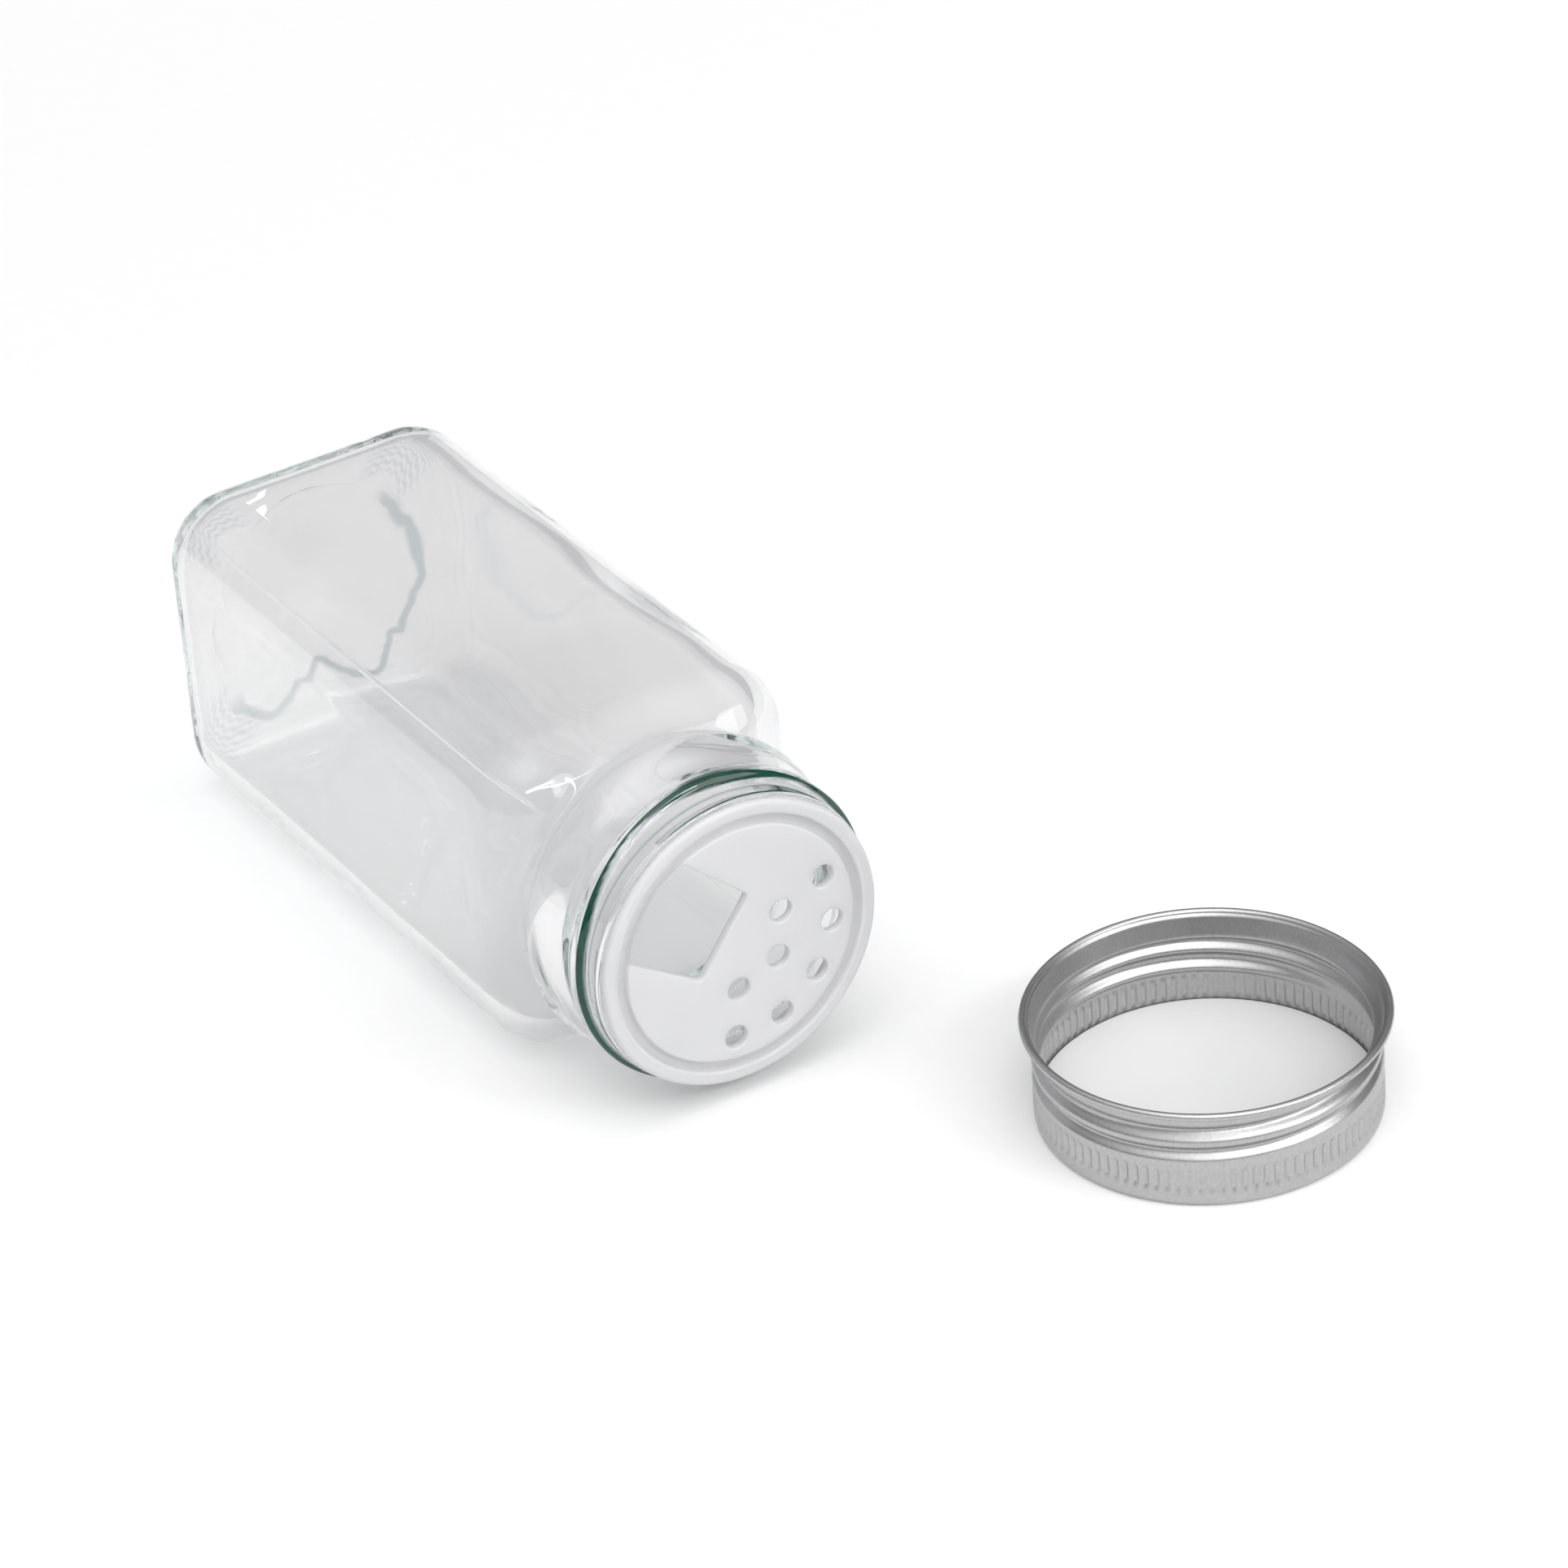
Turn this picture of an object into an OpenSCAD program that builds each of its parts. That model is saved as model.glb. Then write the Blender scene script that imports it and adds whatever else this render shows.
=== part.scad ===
// Square glass spice jar lying on one side panel, with its sifter insert in the neck.
// The screw cap lies beside it, open side up, with its liner inside.
// Millimetres. +X runs along the jar's axis towards its mouth, +Z is up.
// The origin is the centre of the side panel that the jar lies on.

/* [Glass body] */
// Width of the square body across its side panels
body_w = 44.5; // [42:0.1:50]
// Height of the body from its foot to the top of its shoulder
body_h = 90.8; // [70:0.1:120]
// Radius of the four upright corners
corner_r = 9.2; // [8.6:0.1:12]
// Radius of the heel round the foot
heel_r = 5.5; // [2:0.1:8]
// Radius of the shoulder
shoulder_r = 8; // [4:0.1:8.5]
// Thickness of the side walls
wall = 2.2; // [1.6:0.1:3]
// Thickness of the base at its foot ring
base_t = 4.4; // [3.4:0.1:6]
// Radius of the round hollow under the base
push_up_r = 15; // [8:0.1:16]
// Depth of the hollow under the base
push_up_depth = 1.6; // [0.4:0.1:2.4]

/* [Glass neck] */
// Height of the neck from the top of the shoulder to the lip
neck_h = 18.1; // [17:0.1:30]
// Diameter of the neck wall under the thread
neck_d = 40.2; // [39:0.1:41]
// Diameter of the mouth bore
bore_d = 35.6; // [33:0.1:36.6]
// Diameter over the collar bead at the root of the neck
collar_d = 43.6; // [42.6:0.1:44.4]
// Height of the collar bead
collar_h = 4.6; // [3:0.1:5]
// Distance from the lip down to the top of the collar bead
finish_h = 11.6; // [10:0.1:12]
// Radius round the lip
lip_r = 0.7; // [0.3:0.1:1]

/* [Screw thread] */
// Rise of the thread in one turn
pitch = 2.75; // [2.6:0.05:3.2]
// Height of the thread's crest above the neck wall
thread_proud = 0.9; // [0.6:0.05:1]
// Turns of thread on the glass
glass_turns = 1.5; // [1:0.25:2]
// Turns of thread rolled into the cap
cap_turns = 2; // [1:0.25:2]
// Width of the thread at its foot
thread_w = 1.7; // [1.4:0.1:2]
// Distance from the lip down to the start of the glass thread
thread_start = 3.4; // [2.4:0.1:4]

/* [Sifter insert] */
// Distance by which the insert's flange stays inside the neck wall
flange_inset = 0.3; // [0.1:0.1:0.8]
// Thickness of the flange
flange_t = 1.3; // [1:0.1:2]
// Radial gap between the insert's skirt and the mouth bore
bore_gap = 0.06; // [0.02:0.01:0.1]
// Wall of the insert's skirt
skirt_t = 1.1; // [0.8:0.1:1.4]
// Depth of the skirt below the flange
skirt_h = 6.4; // [4:0.1:9]
// Width of the ring groove round the flat deck
groove_w = 1.35; // [1.2:0.05:2.5]
// Thickness of the deck
deck_t = 1.2; // [1:0.1:1.8]
// Depth of the ring groove round the deck
groove_depth = 0.8; // [0.4:0.1:0.9]
// Diameter of each sifter hole
hole_d = 3; // [2:0.1:3.6]
// Distance from the deck's rim in to the outer arc of sifter holes
outer_arc_in = 3.15; // [2.4:0.05:4]
// Sifter holes in the outer arc
outer_holes = 5; // [3:1:5]
// Distance between the outer and the inner arc of sifter holes
arc_step = 6.85; // [4.5:0.05:7.5]
// Sifter holes in the inner arc
inner_holes = 3; // [1:1:3]
// Angle between two holes of the outer arc, half of that in the inner arc
hole_step = 30; // [24:1:30]
// Distance from the axis to the straight edge of the pour opening
pour_edge = 2.9; // [2.5:0.1:6]
// Half width of the pour opening at its straight edge
pour_half_in = 6.3; // [4:0.1:7]
// Half width of the pour opening at the deck's rim
pour_half_out = 7.2; // [5:0.1:8]
// Turn of the insert in the neck, as the photograph shows it
insert_turn = 52.3; // [0:0.1:360]

/* [Cap] */
// Radial gap between the glass thread and the cap's wall
thread_gap = 0.6; // [0.3:0.05:1]
// Gap between the cap's rim and the collar bead when the cap is screwed on
collar_gap = 0.1; // [0:0.1:1]
// Distance by which the curled rim stands out from the cap's wall
rim_proud = 1.35; // [1:0.05:1.8]
// Thickness of the aluminium sheet
sheet = 0.25; // [0.2:0.01:0.3]
// Radius of the edge between the top panel and the skirt
cap_edge_r = 1; // [0.6:0.1:1.4]
// Diameter of the curl round the rim
curl_d = 0.9; // [0.7:0.05:1.1]
// Height of the flared band below the curl
flare_h = 1.4; // [1:0.1:1.6]
// Depth of the rolled thread
roll_depth = 0.75; // [0.5:0.05:0.9]
// Distance from the rim's middle down to the end of the rolled thread
roll_start = 2.2; // [2.2:0.1:3]
// Angle round the cap at which the rolled thread ends
roll_end_angle = 158; // [0:1:360]
// Ribs round the knurled band
ribs = 100; // [60:1:140]
// Depth of a rib
rib_depth = 0.12; // [0.06:0.01:0.14]
// Height at which the knurled band begins
knurl_low = 2.3; // [2:0.1:2.6]
// Height of the knurled band
knurl_h = 3.1; // [1.5:0.1:3.3]
// Thickness of the liner
liner_t = 1.4; // [0.8:0.1:1.6]
// Radial gap between the liner and the cap's wall
liner_gap = 0.08; // [0.02:0.01:0.1]

/* [Layout] */
// Distance from the insert's face to the cap's axis
cap_ahead = 37.3; // [26:0.1:100]
// Sideways distance from the jar's axis to the cap's axis
cap_aside = 43.6; // [0:0.1:80]

/* [Hidden] */
$fn = 96;
eps = 0.01;
over = 1;                // how far a cut runs past the faces that it opens
round_margin = 0.2;      // what an upright corner's radius keeps over a foot's or shoulder's
thread_steps = 48;       // flat steps in one turn of thread
run_out = 8;             // a thread grows to its full depth in one turn divided by this
least_depth = 0.02;      // share of a thread's depth that is left at its ends
glass_bite = 0.3;        // how deep the glass thread is rooted in the neck wall
ridge_bite = 0.08;       // how deep the ridge inside the cap is rooted in its sheet
groove_bite = 0.15;      // how far the rolled groove's cut reaches out of the cap
crest_share = 1 / 3;     // width of a thread's crest over the width of its foot
groove_narrower = 0.5;   // the rolled groove is narrower than the ridge behind it
groove_crest_share = 1 / 6;
rib_inset = 0.02;        // the ribs' crests lie inside the cap's wall
liner_edge_r = 0.15;
groove_past_skirt = 0.1; // the ring groove reaches past the outside of the skirt

glass_h = body_h + neck_h;
outer_shoulder_r = min(shoulder_r, corner_r - round_margin);
outer_heel_r = min(heel_r, corner_r - round_margin);
inner_corner_r = corner_r - wall;
inner_shoulder_r = min(outer_shoulder_r - wall, inner_corner_r - round_margin);
inner_heel_r = min(outer_heel_r, inner_corner_r - round_margin);
neck_r = neck_d / 2;
bore_r = bore_d / 2;
thread_r = neck_r + thread_proud;
collar_base = glass_h - finish_h - collar_h;
bead_r = collar_h / 2;

insert_top = glass_h + flange_t;
flange_r = neck_r - flange_inset;
skirt_r = bore_r - bore_gap;
skirt_in_r = skirt_r - skirt_t;
groove_out_r = skirt_r + groove_past_skirt;
deck_r = groove_out_r - groove_w;
outer_arc_r = deck_r - outer_arc_in;
inner_arc_r = outer_arc_r - arc_step;

cap_in_r = thread_r + thread_gap;
cap_r = cap_in_r + sheet;
rim_r = cap_r + rim_proud;
curl_r = curl_d / 2;
curl_mid_r = rim_r - curl_r;
cap_h = sheet + liner_t + flange_t + finish_h - collar_gap - curl_r;
inner_edge_r = cap_edge_r - sheet;
liner_r = cap_in_r - liner_gap;
knurl_top = knurl_low + knurl_h;
flare_base = cap_h - flare_h;
roll_top = cap_h - roll_start;
roll_phase = roll_end_angle - 360 * cap_turns;

// Flat shapes that several pieces share

// A square corner piece that leaves a round of radius r when it is cut away
module corner_bit(r) {
    difference() {
        translate([-r, -r])
            square([r + over, r + over]);
        translate([-r, -r])
            circle(r);
    }
}

// Half of an upright section, with rounds at the foot and at the top
module half_section(reach, low, high, foot_r, top_r) {
    difference() {
        translate([0, low])
            square([reach, high - low]);
        translate([reach, high])
            corner_bit(top_r);
        translate([reach, low])
            mirror([0, 1])
                corner_bit(foot_r);
    }
}

// A square block with upright corners of radius upright_r and rounded foot and shoulder
module rounded_block(width, upright_r, low, high, foot_r, top_r) {
    core = width / 2 - upright_r;
    translate([-core, -core, low])
        cube([2 * core, 2 * core, high - low]);
    for (k = [0:3])
        rotate([0, 0, 90 * k]) {
            translate([core, core, 0])
                rotate_extrude(angle = 90)
                    half_section(upright_r, low, high, foot_r, top_r);
            translate([core, core, 0])
                rotate([90, 0, 0])
                    linear_extrude(2 * core)
                        half_section(upright_r, low, high, foot_r, top_r);
        }
}

// A right-handed thread's outline at each step, swept round the axis from z_top downwards.
// It reaches from root_r to crest_r and fades out at both ends. Its root is sunk by bite, so
// that the flanks cross the wall that the thread stands on.
function fade(t, turns) = min(1, least_depth + run_out * t, least_depth + run_out * (turns - t));
function on_circle(t, r, z) = [r * cos(360 * t), r * sin(360 * t), z];

module helix(root_r, crest_r, root_w, crest_w, z_top, turns, bite) {
    rings = round(turns * thread_steps);
    side = sign(crest_r - root_r);
    foot_r = root_r - side * bite;
    back_r = foot_r - side * bite;
    points = [
        for (i = [0:rings])
            let (
                t = i / thread_steps,
                z = z_top + pitch * (t - turns),
                tip_r = root_r + (crest_r - root_r) * fade(t, turns)
            )
            each [
                on_circle(t, back_r, z - root_w / 2), on_circle(t, foot_r, z - root_w / 2),
                on_circle(t, tip_r, z - crest_w / 2), on_circle(t, tip_r, z + crest_w / 2),
                on_circle(t, foot_r, z + root_w / 2), on_circle(t, back_r, z + root_w / 2)
            ]
    ];
    n = len(points) / (rings + 1);
    last = rings * n;
    faces = concat(
        [for (i = [0:rings - 1]) for (k = [0:n - 1])
            let (a = i * n + k, b = i * n + (k + 1) % n)
                each [[a, b, b + n], [a, b + n, a + n]]],
        [for (k = [1:n - 2]) each [[0, k + 1, k], [last, last + k, last + k + 1]]]
    );
    polyhedron(points, side > 0 ? faces : [for (f = faces) [f[2], f[1], f[0]]]);
}

// Glass jar, standing on its foot

module neck_section() {
    root_z = body_h - outer_shoulder_r;
    translate([0, root_z])
        square([neck_r - lip_r, glass_h - root_z]);
    translate([0, root_z])
        square([neck_r, glass_h - lip_r - root_z]);
    translate([neck_r - lip_r, glass_h - lip_r])
        circle(lip_r);
    translate([0, collar_base])
        square([collar_d / 2 - bead_r, collar_h]);
    translate([collar_d / 2 - bead_r, collar_base + bead_r])
        circle(bead_r);
}

module push_up_hollow() {
    ball_r = (push_up_r * push_up_r + push_up_depth * push_up_depth) / (2 * push_up_depth);
    translate([0, 0, push_up_depth - ball_r])
        sphere(ball_r);
}

module jar_outside() {
    rounded_block(body_w, corner_r, 0, body_h, outer_heel_r, outer_shoulder_r);
    rotate_extrude()
        neck_section();
    helix(
        neck_r, thread_r, thread_w, thread_w * crest_share,
        glass_h - thread_start, glass_turns, glass_bite
    );
}

module jar_inside() {
    room_w = body_w - 2 * wall;
    room_top = body_h - wall;
    rounded_block(room_w, inner_corner_r, base_t, room_top, inner_heel_r, inner_shoulder_r);
    translate([0, 0, room_top - wall])
        cylinder(h = neck_h + 2 * wall + over, r = bore_r);
}

module standing_jar() {
    difference() {
        jar_outside();
        jar_inside();
        push_up_hollow();
    }
}

// Sifter insert, in the standing jar's frame

module insert_section() {
    edge_r = flange_t / 2;
    difference() {
        union() {
            translate([0, insert_top - deck_t])
                square([skirt_in_r + eps, deck_t]);
            translate([skirt_in_r, glass_h])
                square([flange_r - skirt_in_r - edge_r, flange_t]);
            translate([flange_r - edge_r, glass_h + edge_r])
                circle(edge_r);
            translate([skirt_in_r, glass_h - skirt_h])
                square([skirt_t, skirt_h + flange_t]);
        }
        translate([deck_r, insert_top - groove_depth])
            square([groove_w, groove_depth + over]);
    }
}

module sifter_holes(count, arc_r, step) {
    for (k = [0:count - 1])
        rotate([0, 0, (k - (count - 1) / 2) * step])
            translate([arc_r, 0, insert_top - deck_t - over])
                cylinder(h = deck_t + 2 * over, d = hole_d);
}

module pour_outline(reach) {
    spread = (pour_half_out - pour_half_in) / (deck_r - pour_edge);
    half_out = pour_half_in + spread * (reach - pour_edge);
    polygon([
        [-pour_edge, -pour_half_in], [-pour_edge, pour_half_in],
        [-reach, half_out], [-reach, -half_out]
    ]);
}

// The opening goes through the deck, and below the flange it notches the skirt as well
module pour_opening() {
    translate([0, 0, insert_top - deck_t - over])
        linear_extrude(deck_t + 2 * over)
            intersection() {
                circle(deck_r);
                pour_outline(deck_r);
            }
    translate([0, 0, glass_h - skirt_h - over])
        linear_extrude(skirt_h + over)
            pour_outline(skirt_r + over);
}

module standing_insert() {
    rotate([0, 0, insert_turn])
        difference() {
            rotate_extrude()
                insert_section();
            sifter_holes(outer_holes, outer_arc_r, hole_step);
            sifter_holes(inner_holes, inner_arc_r, 2 * hole_step);
            pour_opening();
        }
}

// Cap, lying on its top panel with its open side up

// The solid inside a round-edged can of radius reach, from low up to the knurled band's foot
module can_foot(reach, low, edge_r) {
    rotate_extrude()
        difference() {
            translate([0, low])
                square([reach, knurl_low - low]);
            translate([reach, low])
                mirror([0, 1])
                    corner_bit(edge_r);
        }
}

module knurled_band() {
    step = 360 / ribs;
    crest = cap_r - rib_inset;
    trough = crest - rib_depth;
    translate([0, 0, knurl_low])
        linear_extrude(knurl_h)
            polygon([
                for (k = [0:ribs - 1]) each [
                    [crest * cos(k * step), crest * sin(k * step)],
                    [trough * cos((k + 0.5) * step), trough * sin((k + 0.5) * step)]
                ]
            ]);
}

// The can above the knurled band, with the flare that carries the rim
module can_wall(reach, rim_reach) {
    rotate_extrude()
        polygon([
            [0, knurl_top], [reach, knurl_top], [reach, flare_base],
            [rim_reach, cap_h], [0, cap_h]
        ]);
}

// The rolled thread: a groove outside the cap's wall and the ridge that it makes inside
module rolled_groove() {
    rotate([0, 0, roll_phase])
        helix(
            cap_r, cap_r - roll_depth, thread_w - groove_narrower, thread_w * groove_crest_share,
            roll_top, cap_turns, groove_bite
        );
}

module rolled_ridge() {
    rotate([0, 0, roll_phase])
        helix(
            cap_in_r, cap_in_r - roll_depth, thread_w, thread_w * crest_share,
            roll_top, cap_turns, ridge_bite
        );
}

module flat_cap() {
    difference() {
        union() {
            can_foot(cap_r, 0, cap_edge_r);
            knurled_band();
            can_wall(cap_r, curl_mid_r);
        }
        can_foot(cap_in_r, sheet, inner_edge_r);
        rotate_extrude()
            translate([0, knurl_low - eps])
                square([cap_in_r, knurl_h + 2 * eps]);
        can_wall(cap_in_r, curl_mid_r - sheet);
        rolled_groove();
    }
    rolled_ridge();
    translate([0, 0, cap_h])
        rotate_extrude()
            translate([curl_mid_r, 0])
                circle(curl_r);
}

module flat_liner() {
    rotate_extrude()
        half_section(liner_r, sheet, sheet + liner_t, inner_edge_r, liner_edge_r);
}

// Places of the pieces at rest

module lay_on_side() {
    translate([-body_h / 2, 0, body_w / 2])
        rotate([0, 90, 0])
            children();
}

module beside_the_jar() {
    translate([insert_top + cap_ahead - body_h / 2, cap_aside, 0])
        children();
}

module glass_jar() {
    color([0.86, 0.91, 0.89, 0.4])
        lay_on_side()
            standing_jar();
}

module shaker_insert() {
    color([0.95, 0.95, 0.96, 0.8])
        lay_on_side()
            standing_insert();
}

module screw_cap() {
    color([0.72, 0.73, 0.74])
        beside_the_jar()
            flat_cap();
}

module cap_liner() {
    color("white")
        beside_the_jar()
            flat_liner();
}

glass_jar();
shaker_insert();
screw_cap();
cap_liner();
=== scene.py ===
import math

import bmesh
import bpy
import numpy as np
from mathutils import Matrix, Vector


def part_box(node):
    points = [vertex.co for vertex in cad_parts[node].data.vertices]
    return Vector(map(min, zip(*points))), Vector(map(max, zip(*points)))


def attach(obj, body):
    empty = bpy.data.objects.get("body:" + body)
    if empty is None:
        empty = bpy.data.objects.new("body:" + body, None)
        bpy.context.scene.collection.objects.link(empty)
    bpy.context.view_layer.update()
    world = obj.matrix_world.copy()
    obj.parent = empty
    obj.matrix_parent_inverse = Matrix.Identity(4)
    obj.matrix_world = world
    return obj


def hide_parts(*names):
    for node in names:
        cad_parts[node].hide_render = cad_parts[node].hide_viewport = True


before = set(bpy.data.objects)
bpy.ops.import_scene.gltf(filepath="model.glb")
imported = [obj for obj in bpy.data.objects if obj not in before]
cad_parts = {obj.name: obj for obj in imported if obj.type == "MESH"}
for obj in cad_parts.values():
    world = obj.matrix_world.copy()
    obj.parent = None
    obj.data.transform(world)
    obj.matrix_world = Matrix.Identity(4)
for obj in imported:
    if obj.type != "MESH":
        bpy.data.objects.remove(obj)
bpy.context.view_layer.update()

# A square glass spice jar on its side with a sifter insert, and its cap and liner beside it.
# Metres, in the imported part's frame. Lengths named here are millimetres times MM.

MM = 0.001
JAR_LOW, JAR_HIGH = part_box("glass_jar")
INSERT_LOW, INSERT_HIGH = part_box("shaker_insert")
CAP_LOW, CAP_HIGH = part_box("screw_cap")
LINER_LOW, LINER_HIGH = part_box("cap_liner")

# Camera, as fitted to the photograph
CAMERA_PLACE = Vector((691.31, -352.94, 493.38)) * MM
CAMERA_RIGHT = Vector((0.53256, 0.84389, -0.06499))
CAMERA_DOWN = Vector((0.41893, -0.32953, -0.84611))
CAMERA_LENS = 159.17
SENSOR = 36.0

# Glass body
BODY_W = JAR_HIGH.z - JAR_LOW.z
GLASS_H = JAR_HIGH.x - JAR_LOW.x
AXIS_Z = BODY_W / 2
NECK_H = 18.1 * MM
BODY_H = GLASS_H - NECK_H
CORNER_R = 9.2 * MM
PANEL_BOW = 0.05 * MM
HEEL_R = 5.5 * MM
ROW_STEP = 1.3 * MM
ROW_PROUD = 0.12 * MM
SHOULDER_R = 8.0 * MM
WALL = 2.2 * MM
INNER_CORNER_R = 7.2 * MM
BASE_T = 2.9 * MM
PUSH_UP_R = 15.0 * MM
PUSH_UP_DEPTH = 1.6 * MM
FOOT_RISE = 0.05 * MM
INNER_SHOULDER_R = 7.2 * MM
INNER_HEEL_R = 3.2 * MM
INNER_DOME = 1.2 * MM
INNER_TOP = BODY_H - WALL
INNER_HALF = BODY_W / 2 - WALL
INNER_WAVE = 0.22 * MM
BODY_WAVES = ((2, 0.4), (3, 0.3), (5, 0.2), (7, 0.1))
SHOULDER_BLEND = 2.2 * MM
SHOULDER_LIFT = 0.5 * MM
INNER_SHOULDER_BLEND = 4.2 * MM
INNER_SHOULDER_LIFT = 0.3 * MM
JAR_COUNT = 264
CORNER_CROWD = 0.42

# Mould seams, on two opposite corners
SEAM_TURNS = (135.0, 315.0)
SEAM_HALF_W = 0.32 * MM
SEAM_PROUD = 0.2 * MM
DIAGONAL = 27.6 * MM

# Settle line of the base: its course as (degrees, millimetres from the axis), its relief, and the
# painted shade along it
SETTLE_COURSE = (
    (-180, 15.0), (-150, 16.6), (-137, 17.8), (-126, 18.0), (-118, 17.2), (-113, 14.5),
    (-107, 10.6), (-102, 10.8), (-90, 12.6), (-82, 14.5), (-73, 16.4), (-65, 18.2),
    (-60, 17.1), (-44, 15.0), (-30, 14.3), (-13, 15.0), (-5, 16.1), (6, 15.2),
    (29, 13.8), (45, 15.0), (70, 14.4), (110, 14.0), (142, 13.6),
)
SETTLE_STEP = 0.2 * MM
SETTLE_DIP = 0.1 * MM
SETTLE_HALF_W = 1.1 * MM
SETTLE_OUT = 1.1 * MM
SETTLE_IN = 1.3 * MM
SETTLE_CLEAR = 1.15 * MM
# Painted shade, as shares of the darkest glass colour: along the settle line, over the heel's scallops
# and along a fine line round the neck.
SETTLE_PAINTED_SHADE_HALF_W = 1.35 * MM
SETTLE_PAINTED_SHADE = 0.6
ROW_PAINTED_SHADE = 0.45
FINE_LINE_PAINTED_SHADE = 0.7

# Glass neck
NECK_R = 20.1 * MM
BORE_R = 17.8 * MM
COLLAR_R = 21.8 * MM
COLLAR_H = 95.0 * MM
COLLAR_RISE = 3.4 * MM
COLLAR_FALL = 8.5 * MM
LIP_R = 0.7 * MM
PITCH = 2.75 * MM
THREAD_PROUD = 0.9 * MM
THREAD_START = 3.4 * MM
THREAD_TURNS = 1.5
THREAD_HALF_W = 1.1 * MM
RING_H = 104.8 * MM
RING_HALF_W = 1.0 * MM
RING_PROUD = 1.0 * MM
RING_LIFT = 0.5 * MM
RING_DROP = 1.5 * MM
# A fine dark line painted round the neck, with no relief of its own: painted shade.
FINE_LINE_H = 106.7 * MM
FINE_LINE_HALF_W = 0.35 * MM
NECK_FOOT_H = BODY_H + 0.9 * MM
NECK_MIDDLE_H = COLLAR_H + 3.2 * MM
LIP_IN_R = 0.5 * MM
BORE_SWAY = 0.12 * MM
BORE_TOP_H = GLASS_H - 1.0 * MM
BORE_FOOT_H = INNER_TOP + 0.8 * MM

# Sifter insert
INSERT_TOP = INSERT_HIGH.x - JAR_LOW.x
FLANGE_R = (INSERT_HIGH.z - INSERT_LOW.z) / 2
FLANGE_T = 1.3 * MM
SKIRT_R = BORE_R - 0.06 * MM
SKIRT_T = 0.8 * MM
SKIRT_H = 2.7 * MM
DECK_R = 16.49 * MM
DECK_T = 1.2 * MM
GROOVE_W = 1.35 * MM
GROOVE_DEPTH = 0.8 * MM
HOLE_R = 1.6 * MM
HOLE_ARCS = ((13.34 * MM, 5, 30.0), (6.49 * MM, 3, 60.0))
HOLES_MIDDLE = -37.7
POUR_EDGE = 2.9 * MM
POUR_HALF_IN = 6.3 * MM
POUR_HALF_OUT = 7.2 * MM
POUR_CORNER_R = 0.7 * MM
POUR_REACH = DECK_R - 0.25 * MM
NOTCH_REACH = SKIRT_R + 1 * MM
HOLE_RIM_R = 0.22 * MM
EDGE_SOFT = 0.32 * MM
EDGE_SMALL = 0.2 * MM
FLANGE_STEP_R = 18.4 * MM
INSERT_COUNT = 256

# Cap
CAP_X = (CAP_LOW.x + CAP_HIGH.x) / 2
CAP_Y = (CAP_LOW.y + CAP_HIGH.y) / 2
RIM_R = (CAP_HIGH.x - CAP_LOW.x) / 2
CURL_R = 0.5 * MM
RIM_Z = CAP_HIGH.z - CURL_R
SHEET = 0.25 * MM
CAP_R = RIM_R - 1.35 * MM
CAP_EDGE_R = 1.0 * MM
RIBS = 100
RIB_DEPTH = 0.36 * MM
KNURL_LOW = 2.2 * MM
KNURL_HIGH = 5.6 * MM
KNURL_EDGE = 0.45 * MM
ROLL_DEPTH = 0.8 * MM
ROLL_HALF_W = 1.2 * MM
ROLL_FRONT = 3.25 * MM
FRONT_ANGLE = -33.9
FLARE_H = 2.8 * MM
FLARE_IN = 0.35 * MM
FLARE_EASE = 0.8 * MM
PANEL_RISE = 0.05 * MM
CAP_COUNT = RIBS * 7
THETA = np.arange(CAP_COUNT) * 2 * math.pi / CAP_COUNT

# Liner
LINER_R = (LINER_HIGH.x - LINER_LOW.x) / 2
LINER_LOW_EDGE_R = 0.7 * MM
LINER_HIGH_EDGE_R = 0.25 * MM
LINER_COUNT = 192

# Materials. The glass colours lie over a per-point attribute: clear glass, then painted shade for the
# settle line and the heel's scallops, then a near-black painted ring round the neck.
GLASS_COLOUR_AND_PAINTED_SHADES = ((0.0, (0.89, 0.887, 0.89)), (0.6, (0.40, 0.465, 0.48)), (1.0, (0.0, 0.008, 0.003)))
GLASS_IOR = 1.5
GLASS_SHADOW = (0.925, 0.932, 0.928, 1)
GLASS_DEPTH_COLOUR = (0.30, 0.74, 0.62, 1)
GLASS_DEPTH_DENSITY = 1.2
INSERT_COLOURS = ((0.855, 0.855, 0.868), (0.895, 0.895, 0.905))
INSERT_IOR = 1.49
INSERT_SCATTER = 0.9
INSERT_SCATTER_REACH = 2.4 * MM
INSERT_CLEAR = 0.3
CAP_COLOURS = ((0.40, 0.40, 0.401), (0.58, 0.58, 0.583))
LINER_COLOURS = ((0.70, 0.70, 0.697), (0.76, 0.76, 0.756))
FLOOR_COLOURS = ((0.77, 0.77, 0.77), (0.79, 0.79, 0.79))

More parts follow.
